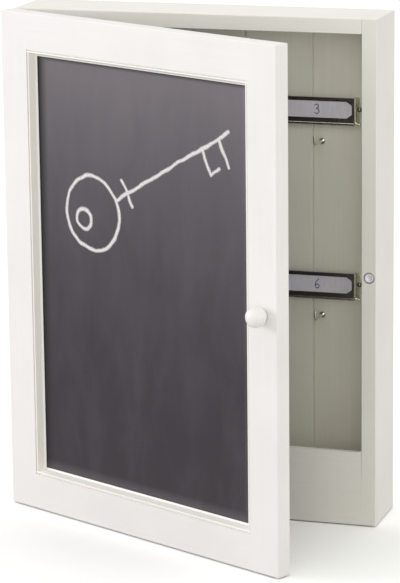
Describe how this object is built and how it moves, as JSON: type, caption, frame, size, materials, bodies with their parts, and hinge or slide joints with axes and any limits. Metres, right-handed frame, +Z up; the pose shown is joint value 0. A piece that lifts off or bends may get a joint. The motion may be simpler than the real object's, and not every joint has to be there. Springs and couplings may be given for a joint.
{
  "type": "key cabinet",
  "caption": "Shallow wooden key cabinet with a hinged chalkboard door, labelled key hooks, a bin behind the apron and keyhole plates to hang it on a wall.",
  "frame": {"origin": "centre of the underside of the carcass, which is the box without its door", "axes": "+X to the right seen from the front, +Y from the front to the back, +Z up; the door hangs on the left and stands open by 26.8 degrees"},
  "size_m": [0.2246, 0.1571, 0.3],
  "materials": {
    "white_paint": "satin white paint on wood",
    "inside_paint": "thin satin white paint on grooved board",
    "chalkboard_paint": "matt slate chalkboard paint on hardboard, with chalk dust",
    "zinc_steel": "zinc plated",
    "plain_steel": "plain drawn steel",
    "magnet_nickel": "bright nickel plate",
    "dark_steel": "pressed sheet with a dark antique plate, bright on its edges",
    "card": "plain white card",
    "beech": "bare"
  },
  "bodies": {
    "cabinet": {"side_left": "white_paint", "side_right": "white_paint", "top_board": "white_paint", "bottom_board": "inside_paint", "front_apron": "white_paint", "back_panel": "inside_paint", "carcass_brads": "plain_steel", "key_hook_1": "zinc_steel", "key_hook_2": "zinc_steel", "key_hook_3": "zinc_steel", "key_hook_4": "zinc_steel", "key_hook_5": "zinc_steel", "key_hook_6": "zinc_steel", "label_holder_1": "dark_steel", "label_holder_2": "dark_steel", "label_holder_3": "dark_steel", "label_holder_4": "dark_steel", "label_holder_5": "dark_steel", "label_holder_6": "dark_steel", "label_card_1": "card", "label_card_2": "card", "label_card_3": "card", "label_card_4": "card", "label_card_5": "card", "label_card_6": "card", "label_nails": "zinc_steel", "magnet_cup": "plain_steel", "magnet": "magnet_nickel", "hanger_left": "zinc_steel", "hanger_right": "zinc_steel", "hanger_screws": "zinc_steel", "hinge_upper_body_leaf": "zinc_steel", "hinge_lower_body_leaf": "zinc_steel", "hinge_upper_pin": "zinc_steel", "hinge_lower_pin": "zinc_steel", "hinge_body_screws": "zinc_steel"},
    "door": {"door_stile_left": "white_paint", "door_stile_right": "white_paint", "door_rail_top": "white_paint", "door_rail_bottom": "white_paint", "door_dowels": "beech", "moulding_left": "white_paint", "moulding_right": "white_paint", "moulding_top": "white_paint", "moulding_bottom": "white_paint", "chalkboard": "chalkboard_paint", "board_points": "plain_steel", "knob": "white_paint", "knob_screw": "zinc_steel", "strike_tack": "plain_steel", "hinge_upper_door_leaf": "zinc_steel", "hinge_lower_door_leaf": "zinc_steel", "hinge_door_screws": "zinc_steel"}
  },
  "joints": [
    {"name": "door_hinge", "type": "hinge", "parent": "cabinet", "child": "door", "pos_m": [-0.1113, -0.02155, 0.15], "axis": [0, 0, -1], "range_deg": [-26.8, 153.2]}
  ]
}
